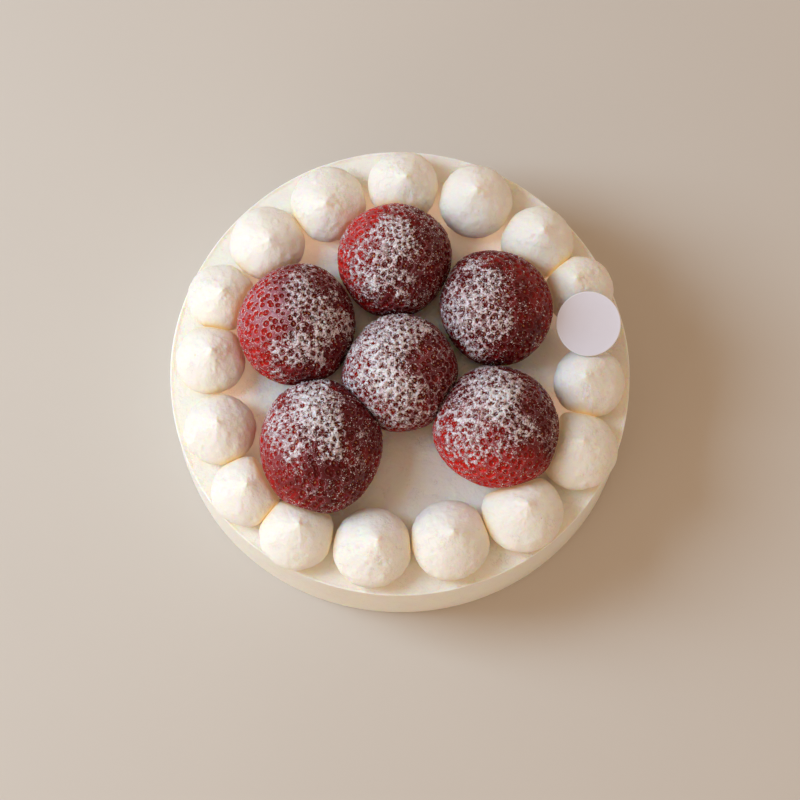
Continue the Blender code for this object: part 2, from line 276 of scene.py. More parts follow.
# planes shared with each neighbour, set at the neighbours' shares of their overlap
def pressPlanes(name):
    middle, reach, yields = places[name]
    planes = []
    for other, (otherMiddle, otherReach, otherYields) in places.items():
        away = middle - otherMiddle
        distance = np.linalg.norm(away)
        overlap = reach + otherReach - distance
        if other == name or overlap < -4.0 * pressSoftness:
            continue
        normal = away / distance
        meeting = middle - normal * (reach - yields / (yields + otherYields) * overlap)
        planes.append((meeting, normal))
    return planes


# softly moves points to the side of a plane that its normal points to: the distance becomes
# the logarithm of one plus its exponential
def holdBack(points, origin, normal):
    depth = (points - origin) @ normal - pressGap
    held = pressSoftness * np.logaddexp(0.0, depth / pressSoftness)
    return points + (held - depth)[:, None] * normal


# how close points are to the planes they press on, 1 at a plane and fading over the reach
def closeness(points, planes, reach):
    close = np.zeros(len(points))
    for origin, normal in planes:
        close = np.maximum(close, np.exp(-((points - origin) @ normal).clip(0.0) / reach))
    return close


class NodeSheet:
    # short ways to add, fill and link the nodes of one tree
    def __init__(self, tree):
        self.tree = tree

    def node(self, kind, inputs=None, **settings):
        made = self.tree.nodes.new(kind)
        for key, value in settings.items():
            setattr(made, key, value)
        for key, value in (inputs or {}).items():
            if isinstance(value, bpy.types.NodeSocket):
                self.tree.links.new(value, made.inputs[key])
            else:
                made.inputs[key].default_value = value
        return made

    def math(self, operation, first, second=0.0, clamp=False):
        return self.node("ShaderNodeMath", {0: first, 1: second},
                         operation=operation, use_clamp=clamp).outputs[0]

    def plus(self, first, second, clamp=False):
        return self.math("ADD", first, second, clamp)

    def minus(self, first, second):
        return self.math("SUBTRACT", first, second)

    def times(self, first, second, clamp=False):
        return self.math("MULTIPLY", first, second, clamp)

    def ramp(self, value, low, high, lowTo=0.0, highTo=1.0):
        return self.node("ShaderNodeMapRange",
                         {"Value": value, "From Min": low, "From Max": high,
                          "To Min": lowTo, "To Max": highTo},
                         interpolation_type="SMOOTHSTEP").outputs["Result"]

    def mix(self, factor, first, second):
        return self.node("ShaderNodeMix", {0: factor, 6: first, 7: second},
                         data_type="RGBA").outputs[2]

    def attribute(self, name):
        return self.node("ShaderNodeAttribute", attribute_name=name).outputs["Fac"]

    def noise(self, place, perMetre, detail, rough):
        return self.node("ShaderNodeTexNoise",
                         {"Vector": place, "Scale": perMetre, "Detail": detail,
                          "Roughness": rough}).outputs["Fac"]

    def cells(self, place, perMetre):
        made = self.node("ShaderNodeTexVoronoi", {"Vector": place, "Scale": perMetre}, feature="F1")
        drawn = self.node("ShaderNodeSeparateColor", {"Color": made.outputs["Color"]})
        return made.outputs["Distance"], drawn.outputs[0], drawn.outputs[1]

    def group(self, tree, place, inputs):
        return self.node("ShaderNodeGroup", {"Place": place, **inputs}, node_tree=tree).outputs

    # colour, roughness and bump of a material's shader
    def finish(self, shader, color, height, depth, rough=None):
        bump = self.node("ShaderNodeBump", {"Height": height, "Distance": depth, "Strength": 1.0})
        self.link(color, shader.inputs["Base Color"])
        self.link(bump.outputs["Normal"], shader.inputs["Normal"])
        if rough is not None:
            self.link(rough, shader.inputs["Roughness"])

    def link(self, source, target):
        self.tree.links.new(source, target)


# a group with a socket per input, for a place, a colour or a number as its first value says
def startGroup(name, inputs, outputs):
    tree = bpy.data.node_groups.new(name, "ShaderNodeTree")
    for label, value in inputs.items():
        kind = "Vector" if value is None else "Color" if isinstance(value, tuple) else "Float"
        socket = tree.interface.new_socket(label, in_out="INPUT", socket_type="NodeSocket" + kind)
        if value is not None:
            socket.default_value = value
    for label in outputs:
        kind = "Color" if label == "Color" else "Float"
        tree.interface.new_socket(label, in_out="OUTPUT", socket_type="NodeSocket" + kind)
    sheet = NodeSheet(tree)
    return sheet, sheet.node("NodeGroupInput").outputs, sheet.node("NodeGroupOutput").inputs


# how much flakes, heaps of them under thick cover, fine grain, coarse patches and ridges count
dustLook = {
    "flake": 2.0, "flakeMiddle": 0.49, "heap": 1.2, "heapMiddle": 0.45, "fine": 4.0,
    "coarse": 1.6, "ridge": 0.95, "coverGain": 2.2, "maskFrom": (1.31, 1.52), "flakeHeight": 0.8,
}


# sugar dust: settles where cover and ridge are high, broken up by patches, flakes and grain
def buildDustGroup():
    sheet, given, result = startGroup(
        "sugarDust",
        {"Place": None, "Cover": 0.5, "Ridge": 1.0, "Grain": 2400.0, "Flake": 1650.0,
         "Patch": 420.0},
        ("Mask", "Height", "Tone"))
    look = dustLook
    place = given["Place"]
    fine = sheet.noise(place, given["Grain"], 3.0, 0.8)
    coarse = sheet.noise(place, given["Patch"], 2.0, 0.5)
    chosen, tone = sheet.cells(place, given["Flake"])[1:]
    chunk = sheet.cells(place, sheet.times(given["Flake"], 0.5))[1]
    flake = sheet.times(sheet.minus(chosen, look["flakeMiddle"]), look["flake"])
    heaped = sheet.times(sheet.minus(chunk, look["heapMiddle"]), look["heap"])
    flake = sheet.plus(flake, sheet.times(heaped, given["Cover"]))
    fineOff = sheet.times(sheet.minus(fine, 0.5), look["fine"])
    coarseOff = sheet.times(sheet.minus(coarse, 0.5), look["coarse"])
    uneven = sheet.plus(sheet.plus(fineOff, coarseOff), flake)
    caught = sheet.plus(sheet.times(given["Ridge"], look["ridge"]), uneven)
    some = sheet.times(given["Cover"], look["coverGain"], clamp=True)
    level = sheet.plus(sheet.times(caught, some), given["Cover"])
    mask = sheet.ramp(level, *look["maskFrom"])
    tall = sheet.plus(fine, sheet.times(chosen, look["flakeHeight"]))
    sheet.link(mask, result["Mask"])
    sheet.link(tone, result["Tone"])
    sheet.link(sheet.times(mask, tall), result["Height"])
    return sheet.tree


skinLook = {
    "cloudScale": 70.0, "smearScale": 330.0, "foldScale": 210.0, "foldPatchScale": 120.0,
    # the pinholes' size and share, their painted shade toward the deep colour, and the random cloud
    # tone
    "holeSize": (0.05, 0.12), "holesAbove": 0.86, "holeShade": 0.35, "cloudTint": 0.05,
    "rough": (0.40, 0.56), "grainHeight": 0.7, "smearHeight": 1.1, "creaseHeight": 0.5,
    "creaseWidth": 0.02, "creasePatches": (0.5, 0.62),
}


# cream skin: painted warm shade in the crevices and in the pinholes, cloudy tone, pinholes and fine
# unevenness
def buildCreamGroup():
    sheet, given, result = startGroup(
        "creamSkin",
        {"Place": None, "Crevice": 0.0, "Light": (1.0, 1.0, 1.0, 1.0),
         "Deep": (1.0, 1.0, 1.0, 1.0), "Grain": 900.0, "Pinholes": 260.0},
        ("Color", "Rough", "Height"))
    look = skinLook
    place = given["Place"]
    cloud = sheet.noise(place, look["cloudScale"], 3.0, 0.6)
    grain = sheet.noise(place, given["Grain"], 4.0, 0.6)
    smear = sheet.noise(place, look["smearScale"], 2.0, 0.5)
    away, chosen = sheet.cells(place, given["Pinholes"])[:2]
    hole = sheet.ramp(away, *look["holeSize"], 1.0, 0.0)
    hole = sheet.times(hole, sheet.math("GREATER_THAN", chosen, look["holesAbove"]))
    # painted warm shade: crevices and pinholes drawn toward the deep colour
    shaded = sheet.times(given["Crevice"], sheet.ramp(cloud, 0.2, 0.8, 0.8, 1.0))
    soft = sheet.mix(shaded, given["Light"], given["Deep"])
    soft = sheet.mix(sheet.times(cloud, look["cloudTint"]), soft, given["Deep"])
    soft = sheet.mix(sheet.times(hole, look["holeShade"]), soft, given["Deep"])
    folds = sheet.noise(place, look["foldScale"], 3.0, 0.55)
    fold = sheet.math("ABSOLUTE", sheet.minus(folds, 0.5))
    patches = sheet.noise(place, look["foldPatchScale"], 1.0, 0.5)
    crease = sheet.times(sheet.ramp(fold, 0.0, look["creaseWidth"], 1.0, 0.0),
                         sheet.ramp(patches, *look["creasePatches"]))
    height = sheet.minus(sheet.times(grain, look["grainHeight"]), hole)
    height = sheet.minus(height, sheet.times(crease, look["creaseHeight"]))
    sheet.link(soft, result["Color"])
    sheet.link(sheet.ramp(grain, 0.3, 0.7, *look["rough"]), result["Rough"])
    sheet.link(sheet.plus(height, sheet.times(smear, look["smearHeight"])), result["Height"])
    return sheet.tree


# a material with its shader's uniform values set, and its Object coordinates
def startMaterial(name, settings):
    material = bpy.data.materials.new(name)
    material.use_nodes = True
    sheet = NodeSheet(material.node_tree)
    shader = material.node_tree.nodes["Principled BSDF"]
    for key, value in settings.items():
        shader.inputs[key].default_value = value
    place = sheet.node("ShaderNodeTexCoord").outputs["Object"]
    return material, sheet, shader, place


creamLook = {
    "Subsurface Weight": 1.0, "Subsurface Radius": (1.0, 0.66, 0.36), "Subsurface Scale": 0.0022,
    "IOR": 1.38, "Roughness": 0.5, "Specular IOR Level": 0.35, "Emission Strength": 1.0,
}
# light colour, the deep colour of the painted shade and the cloudy tone, grain and pinholes per
# metre, and depth of the bump
creamKinds = {
    "pipedCream": ((0.895, 0.868, 0.828, 1.0), (0.88, 0.68, 0.34, 1.0), 1100.0, 330.0, 0.0003),
    "spreadCream": ((0.94, 0.91, 0.865, 1.0), (0.88, 0.68, 0.34, 1.0), 900.0, 240.0, 0.00034),
}
# colours of the painted glow: none, in the crevices and in the gaps, and the power of the crevice
# it follows
creamGlow = {
    "dark": (0.0, 0.0, 0.0, 1.0), "crevice": (0.22, 0.155, 0.08, 1.0),
    "gap": (0.30, 0.195, 0.135, 1.0), "fall": 3.0,
}


# pale cream with painted warm shade in the crevices; a painted golden glow comes out there, with
# the cube of the crevice, and a paler painted glow in the narrow gaps
def creamMaterial(name, light, deep, grain, pinholes, bumpDepth):
    material, sheet, shader, place = startMaterial(name, creamLook)
    skin = sheet.group(creamGroup, place, {
        "Crevice": sheet.attribute("crevice"), "Light": light, "Deep": deep, "Grain": grain,
        "Pinholes": pinholes})
    deepest = sheet.math("POWER", sheet.attribute("crevice"), creamGlow["fall"])
    passed = sheet.mix(deepest, creamGlow["dark"], creamGlow["crevice"])
    sheet.link(sheet.mix(sheet.attribute("glow"), passed, creamGlow["gap"]),
               shader.inputs["Emission Color"])
    sheet.finish(shader, skin["Color"], skin["Height"], bumpDepth, skin["Rough"])
    return material


fleshLook = {
    "Subsurface Weight": 0.3, "Subsurface Radius": (1.0, 0.1, 0.06), "Subsurface Scale": 0.0018,
    "IOR": 1.36, "Specular IOR Level": 0.36,
}
# the bright flesh colours are partly riper flesh and partly painted light on the flank toward the
# lamp
fleshColors = {
    "dark": (0.09, 0.003, 0.005, 1.0), "ripeAndLit": (0.46, 0.016, 0.014, 1.0),
    "pitDark": (0.10, 0.001, 0.003, 1.0), "pitRipeAndLit": (0.66, 0.010, 0.005, 1.0),
    "film": (0.44, 0.21, 0.27, 1.0), "pitRim": (0.80, 0.62, 0.64, 1.0),
    "thinSugar": (0.60, 0.44, 0.48, 1.0), "thickSugar": (0.91, 0.90, 0.97, 1.0),
    "crestCatch": 0.35, "mottle": 0.2, "coverWhite": 0.8, "flakeWhite": 0.45, "rimFilm": 0.08,
    "rough": (0.24, 0.9), "fineBump": 0.15, "bump": 0.0003,
}


# flesh, a more saturated red in the pits, brighter on the flank that is partly riper and partly
# painted light;
# on it a thin pinkish film over the net between the pits, pale lines round the pits, and the broken
# white of the sugar
def fleshMaterial():
    material, sheet, shader, place = startMaterial("strawberryFlesh", fleshLook)
    look = fleshColors
    pit = sheet.attribute("pit")
    cover = sheet.attribute("cover")
    film = sheet.attribute("film")
    caught = sheet.times(sheet.attribute("crest"), look["crestCatch"])
    ridge = sheet.plus(sheet.minus(1.0, pit), caught)
    dust = sheet.group(dustGroup, place, {"Cover": cover, "Ridge": ridge})
    cloud = sheet.noise(place, 160.0, 3.0, 0.6)
    brightShare = sheet.plus(sheet.attribute("ripeAndLit"),
                          sheet.ramp(cloud, 0.2, 0.8, -look["mottle"], look["mottle"]), clamp=True)
    body = sheet.mix(brightShare, look["dark"], look["ripeAndLit"])
    hollow = sheet.mix(brightShare, look["pitDark"], look["pitRipeAndLit"])
    body = sheet.mix(sheet.ramp(pit, 0.05, 0.4), body, hollow)
    net = sheet.ramp(pit, 0.08, 0.4, 1.0, 0.0)
    thin = sheet.noise(place, 900.0, 3.0, 0.7)
    veil = sheet.times(sheet.times(film, net), sheet.ramp(thin, 0.3, 0.7, 0.5, 0.95))
    rim = sheet.times(sheet.ramp(pit, 0.02, 0.1), sheet.ramp(pit, 0.12, 0.35, 1.0, 0.0))
    lines = sheet.times(rim, sheet.ramp(thin, 0.42, 0.54))
    lines = sheet.times(lines, sheet.plus(film, look["rimFilm"]), clamp=True)
    body = sheet.mix(veil, body, look["film"])
    body = sheet.mix(lines, body, look["pitRim"])
    pale = sheet.plus(sheet.times(cover, look["coverWhite"]),
                      sheet.ramp(dust["Tone"], 0.0, 1.0, -look["flakeWhite"], look["flakeWhite"]),
                      clamp=True)
    white = sheet.mix(pale, look["thinSugar"], look["thickSugar"])
    fine = sheet.noise(place, 1700.0, 2.0, 0.5)
    height = sheet.plus(dust["Height"], sheet.times(fine, look["fineBump"]))
    sheet.finish(shader, sheet.mix(dust["Mask"], body, white), height, look["bump"],
                 sheet.ramp(dust["Mask"], 0.0, 1.0, *look["rough"]))
    return material


smallLook = {
    "husk": {"IOR": 1.45, "Coat Weight": 0.3}, "huskRough": (0.28, 0.8), "huskRidge": 0.35,
    "huskDark": (0.14, 0.010, 0.008, 1.0), "huskPale": (0.55, 0.20, 0.05, 1.0),
    "huskSugar": (0.84, 0.72, 0.70, 1.0), "huskBump": 0.00006,
    "sugar": {"IOR": 1.5, "Roughness": 0.6}, "sugarBump": 0.00005,
    "sugarPink": (0.52, 0.30, 0.28, 1.0), "sugarWhite": (0.92, 0.90, 0.88, 1.0),
    "card": {"IOR": 1.46, "Roughness": 0.40, "Coat Weight": 0.15}, "cardBump": 0.00003,
    "cardDim": (0.72, 0.70, 0.80, 1.0), "cardPale": (0.77, 0.75, 0.85, 1.0),
    # the painted highlight along the card's edge, and the card's roughness
    "cardEdge": (0.86, 0.84, 0.88, 1.0), "cardRough": (0.36, 0.46),
}


# seeds, straw to red-brown by a number per seed, dusted where the berry is
def seedMaterial():
    material, sheet, shader, place = startMaterial("seedHusk", smallLook["husk"])
    dust = sheet.group(dustGroup, place,
                       {"Cover": sheet.attribute("cover"), "Ridge": smallLook["huskRidge"]})
    husk = sheet.mix(sheet.attribute("tone"), smallLook["huskDark"], smallLook["huskPale"])
    color = sheet.mix(dust["Mask"], husk, smallLook["huskSugar"])
    grain = sheet.noise(place, 5200.0, 2.0, 0.5)
    sheet.finish(shader, color, grain, smallLook["huskBump"],
                 sheet.ramp(dust["Mask"], 0.0, 1.0, *smallLook["huskRough"]))
    return material


# icing sugar grains, pinker to whiter by a number per grain
def sugarMaterial():
    material, sheet, shader, place = startMaterial("icingSugar", smallLook["sugar"])
    color = sheet.mix(sheet.attribute("tone"), smallLook["sugarPink"], smallLook["sugarWhite"])
    grain = sheet.noise(place, 6000.0, 2.0, 0.5)
    sheet.finish(shader, color, grain, smallLook["sugarBump"])
    return material


# coated card: faint fibre mottling under a smooth skin, with a painted highlight along its edge
def cardMaterial():
    material, sheet, shader, place = startMaterial("labelCard", smallLook["card"])
    fibre = sheet.noise(place, 2600.0, 4.0, 0.6)
    cloud = sheet.noise(place, 220.0, 2.0, 0.5)
    tone = sheet.plus(sheet.times(fibre, 0.5), sheet.times(cloud, 0.5))
    color = sheet.mix(tone, smallLook["cardDim"], smallLook["cardPale"])
    color = sheet.mix(sheet.attribute("edge"), color, smallLook["cardEdge"])
    sheet.finish(shader, color, fibre, smallLook["cardBump"],
                 sheet.ramp(fibre, 0.3, 0.7, *smallLook["cardRough"]))
    return material


dustGroup = buildDustGroup()
creamGroup = buildCreamGroup()
ballCream, coatCream = [creamMaterial(name, *values) for name, values in creamKinds.items()]
flesh = fleshMaterial()
seedHusk = seedMaterial()
sugar = sugarMaterial()
card = cardMaterial()
print("materials made")


# section from the middle of the top out over the lip, down the side and in underneath:
# the lip is a quarter of an oval outside its crest and half a cosine wave inside it
def cakeSection():
    form = cakeForm
    height, crest, width = form["height"], form["lipCrest"], form["lipWidth"]
    top = np.linspace(form["radius"] * 0.985, width, form["topRows"])
    inner = np.linspace(width, crest, form["lipRows"] // 2 + 1)[1:]
    innerWave = 0.5 + 0.5 * np.cos(math.pi * (inner - crest) / (width - crest))
    turn = np.linspace(0.5 * math.pi, 0.0, form["lipRows"] // 2 + 1)[1:]
    outer = crest * (1.0 - np.cos(turn))
    outerHeight = height - form["lipHeight"] + 2.0 * form["lipHeight"] * np.sin(turn)
    side = np.linspace(height - form["lipHeight"], form["footRound"], form["sideRows"] + 1)[1:]
    foot = np.linspace(0.0, 0.5 * math.pi, 5)[1:]
    under = np.linspace(form["footRound"], form["radius"] * 0.95, form["underRows"] + 1)[1:]
    inset = np.concatenate([top, inner, outer, np.zeros(len(side)),
                            form["footRound"] * (1.0 - np.cos(foot)), under])
    level = np.concatenate([np.full(len(top), height), height + form["lipHeight"] * innerWave,
                            outerHeight, side, form["footRound"] * (1.0 - np.sin(foot)),
                            np.zeros(len(under))])
    lift = np.concatenate([np.zeros(len(top)), innerWave, np.sin(turn),
                           np.zeros(len(side) + len(foot) + len(under))])
    return inset, level, lift


# the section turned about the middle, with the lip's height varied along the rim and shallow
# spatula strokes pushed in along the surface
def buildCake():
    form = cakeForm
    inset, level, lift = cakeSection()
    columns = form["columns"]
    rows = len(inset)
    angle = np.arange(columns) * fullTurn / columns
    radius = rimRadius(angle) - inset[:, None]
    rim = 80.0 * np.column_stack([np.cos(angle), np.sin(angle), np.zeros(columns)])
    uneven = roughness(form["ragged"], rim, 3, 3) + roughness(form["frayed"], rim, 9, 2)
    z = level[:, None] + form["lipHeight"] * uneven * lift[:, None]
    points = np.stack([radius * np.cos(angle), radius * np.sin(angle), z], axis=-1).reshape(-1, 3)
    points = np.vstack([points, (0.0, -form["shift"], form["height"]), (0.0, 0.0, 0.0)])
    normals = gridNormals(points, rows, columns)
    # strokes run along the rim: the noise is stretched round the cake
    bearing = np.arctan2(points[:, 1], points[:, 0])
    out = np.hypot(points[:, 0], points[:, 1])
    along = np.column_stack([np.cos(bearing) * 9.0, np.sin(bearing) * 9.0,
                             0.9 * (out + points[:, 2])])
    onTop = points[:, 2] > form["height"] - 0.2
    depth = (roughness(form["strokes"], along, 21, 3, 0.4)
             + roughness(form["swells"], points, 31, 2, 0.6)) * smoothStep(points[:, 2], 0.5, 3.0)
    depth = np.where(onTop, form["topShare"] * depth, depth).clip(*form["limits"])
    points = points + normals * depth[:, None]
    crumbDepth, crumbCell = form["crumbs"]
    crumbly = layeredNoise(points, crumbCell, 41, 2)
    points[:, 2] += crumbDepth * crumbly * smoothStep(out, *form["crumbsFrom"]) * onTop
    for across, back, size, tall in form["lumps"]:
        gap = np.hypot(points[:, 0] - across, points[:, 1] - back) / size
        points[:, 2] += np.where(points[:, 2] > form["height"] - 1.5,
                                 tall * (1.0 + 0.5 * crumbly) * np.exp(-gap ** 2), 0.0)
    crevice, glow = cakeCrevice(points, onTop)
    addPiece("cakeCoat", points, closedGrid(rows, columns), coatCream,
             {"crevice": crevice, "glow": glow}, "cake")


# painted warm shade close to the feet of the toppings, fading with the exponential of the distance,
# and the painted glow of the narrow gaps, where the bells of nearness to all toppings add up inside
# the ring
def cakeCrevice(points, onTop):
    form = cakeForm
    shade = np.zeros(len(points))
    near = np.zeros(len(points))
    for name, place in places.items():
        middle, reach = place[:2]
        ball = name.startswith("cream")
        foot = (creamBalls["foot"] if ball else form["berryFoot"]) * reach
        away = np.hypot(points[:, 0] - middle[0], points[:, 1] - middle[1])
        amount = form["ballShade"] if ball else form["berryShade"]
        fade = np.exp(-(away - foot).clip(0.0) / form["shadeReach"])
        shade = np.maximum(shade, amount * fade)
        gap = (away - reach).clip(0.0) / form["glowReach"]
        near += (1.0 if ball else form["berryGlow"]) * np.exp(-gap ** 2)
    out = np.hypot(points[:, 0], points[:, 1])
    glow = smoothStep(near, *form["glowFrom"]) * (1.0 - smoothStep(out, *form["glowInside"]))
    glow = glow * smoothStep(points[:, 1], *form["glowBehind"]) * onTop
    # the side wall gets a faint even share of the painted shade
    return np.where(onTop, shade, form["wallShade"]), glow


buildCake()
print("cake made")


# relative radius and height of a ball's section: a sphere's below the waist, above it an
# oval curve with a power under 2, which draws up into a blunt cone
def ballSection(turn):
    form = creamBalls
    lowDepth = form["waist"] / math.sqrt(1.0 - form["foot"] ** 2)
    up = turn.clip(0.0)
    low = turn.clip(None, 0.0)
    radius = np.where(turn >= 0.0, np.cos(up) ** (2.0 / form["cone"]), np.cos(low))
    high = (form["height"] - form["waist"]) * np.sin(up) ** (2.0 / form["shoulder"])
    return radius, form["waist"] + np.where(turn >= 0.0, high, lowDepth * np.sin(low))


# the section turned round, its tip drawn up, leaned with the square of the height, waved, dented
# by round bells with raised edges, and pressed flat against its neighbours
def buildCreamBall(number, row):
    form = creamBalls
    width, leanTo, lean = row[2:]
    name = f"cream_ball_{number:02d}"
    draw = np.random.default_rng(40 + number)
    columns = form["gridColumns"]
    side = np.linspace(0.5 * math.pi, -math.acos(form["foot"]), form["gridRows"] + 1)[1:]
    radius, level = ballSection(side)
    # rings across the foot
    inner = radius[-1] * np.linspace(0.94, 0.12, 6)
    radius = np.concatenate([radius, inner])
    level = np.concatenate([level, np.zeros(len(inner))])
    rows = len(radius)
    half = 0.5 * width
    points = np.vstack([turnSection(radius, level, columns, half, half),
                        (0.0, 0.0, form["height"]), (0.0, 0.0, 0.0)])
    across = np.hypot(points[:, 0], points[:, 1]) / form["tipReach"]
    points[:, 2] += np.where(points[:, 2] > form["waist"], form["tipRise"] * np.exp(-across), 0.0)
    toward = math.radians(leanTo)
    shift = lean * (points[:, 2] / form["height"]) ** 2
    points[:, 0] += shift * math.cos(toward)
    points[:, 1] += shift * math.sin(toward)
    normals = gridNormals(points, rows, columns)
    clear = smoothStep(points[:, 2], 0.2, 3.0)
    wave = roughness(form["waves"], points, 50 + number, 2)
    streaked = points * (1.0, 1.0, form["streakStretch"])
    wave = wave + roughness(form["streaks"], streaked, 90 + number, 3)
    for dent in range(form["dents"]):
        spot = draw.uniform(0.0, fullTurn)
        high = draw.uniform(0.15, 1.25)
        spotRadius, spotLevel = ballSection(np.array([high]))
        place = np.array((half * spotRadius[0] * math.cos(spot),
                          half * spotRadius[0] * math.sin(spot), spotLevel[0]))
        gap = np.linalg.norm(points - place, axis=1) / draw.uniform(*form["dentSize"])
        wave = wave - form["dentDepth"] * draw.uniform(0.4, 1.4) * np.exp(-gap * gap)
        wave = wave + form["dentEdge"] * np.exp(-(gap - 1.5) ** 2 * 4.0)
    for across, back, size in form["marks"].get(number, ()):
        gap = np.hypot(points[:, 0] - across, points[:, 1] - back) / size
        upper = smoothStep(points[:, 2], form["waist"], form["waist"] + 2.0)
        wave = wave + upper * (form["markEdge"] * np.exp(-(gap - 1.6) ** 2 * 3.0)
                               - form["markDepth"] * np.exp(-gap * gap))
    points = points + normals * (wave * clear)[:, None]
    middle = places[name][0]
    points = points + (middle[0], middle[1], cakeForm["height"])
    planes = pressPlanes(name)
    for origin, normal in planes:
        points = holdBack(points, origin, normal)
    # painted crevice shade: warmer, darker colour near the flats against neighbours and at the foot
    lift = (points[:, 2] - cakeForm["height"]) / form["footShadeReach"]
    crevice = np.maximum(closeness(points, planes, form["shadeReach"]),
                         form["footShade"] * np.exp(-lift))
    addPiece(f"pipedBall{number:02d}", points, closedGrid(rows, columns), ballCream,
             {"crevice": crevice}, name)


for number, row in enumerate(creamBalls["rows"], 1):
    buildCreamBall(number, row)
print("cream balls made")


# area that each point of a six-sided net takes, over the square of its spacing
hexShare = 0.866


# directions spread evenly over a sphere by the golden angle, from the tip down
def goldenSpiral(count):
    index = np.arange(count)
    level = 1.0 - 2.0 * (index + 0.5) / count
    around = index * math.pi * (3.0 - math.sqrt(5.0))
    across = np.sqrt(1.0 - level ** 2)
    return np.column_stack([across * np.cos(around), across * np.sin(around), level])


# form of unit half width and unit length, from unit directions: a full shoulder round the
# foot and a blunt cone to the tip, slightly oval and three-sided
def berryForm(directions):
    form = strawberries
    level = directions[:, 2]
    across = np.sqrt(np.clip(1.0 - level ** 2, 0.0, 1.0))
    angle = np.arctan2(directions[:, 1], directions[:, 0])
    above = level > 0.0
    power = np.where(above, 2.0 / form["tipRound"], 2.0 / form["footRound"])
    extent = np.where(above, 1.0 - form["waist"], -form["waist"])
    uneven = 1.0 + form["oval"] * np.cos(2.0 * angle) + form["lobe"] * np.cos(3.0 * angle)
    radius = uneven * across ** power
    return np.column_stack([radius * np.cos(angle), radius * np.sin(angle),
                            extent * np.abs(level) ** power])


# rotation matrix about an axis, as an array
def turnAbout(axis, degrees):
    return np.array(Matrix.Rotation(math.radians(degrees), 3, axis))


# distances to the nearest and second nearest pit over the spacing, shorter from tip to foot so
# that the pits are longer that way, and over each pit's own size
def pitDistances(directions, pits, sizes, spacing):
    down = np.cross(pits, np.cross(pits, (0.0, 0.0, 1.0)))
    down /= np.linalg.norm(down, axis=1)[:, None].clip(1e-9)
    offset = (pits * down).sum(axis=1).astype(np.float32)
    scale = ((sizes * spacing) ** -2).astype(np.float32)
    stretch = (strawberries["pitLength"] * (1.0 - pits[:, 2] ** 2)).astype(np.float32)
    nearest = np.empty((len(directions), 2))
    for start in range(0, len(directions), 20000):
        part = directions[start:start + 20000].astype(np.float32)
        gap = 2.0 - 2.0 * part @ pits.T.astype(np.float32)
        lengthways = part @ down.T.astype(np.float32) - offset
        gap = (gap - stretch * lengthways ** 2) * scale
        nearest[start:start + 20000] = np.partition(gap, 1, axis=1)[:, :2]
    return np.sqrt(nearest.clip(0.0)).T


# sum of soft round patches, seen along the slightly sloping fall of the sugar
def sugarCover(points, middle, patches):
    x = points[:, 0] - middle[0]
    fall = strawberries["fallSlope"] * (points[:, 2] - strawberries["fallLevel"])
    y = points[:, 1] - middle[1] + fall
    cover = np.zeros(len(points))
    for across, back, reach, amount in patches:
        gap = np.hypot(x - across, y - back) / reach
        cover += amount * np.exp(-gap ** 2)
    return cover


# brighter flank of a berry, partly riper flesh and partly painted light on the side toward the
# lamp: grows toward one side with the offset from the middle
def brighterFlank(points, middle, flankTo):
    bearing, amount = flankTo
    across = (points[:, 0] - middle[0]) * math.cos(math.radians(bearing))
    across = across + (points[:, 1] - middle[1]) * math.sin(math.radians(bearing))
    return amount * smoothStep(across, *strawberries["flankFrom"])


grainPlaces = []
seedPlaces = []


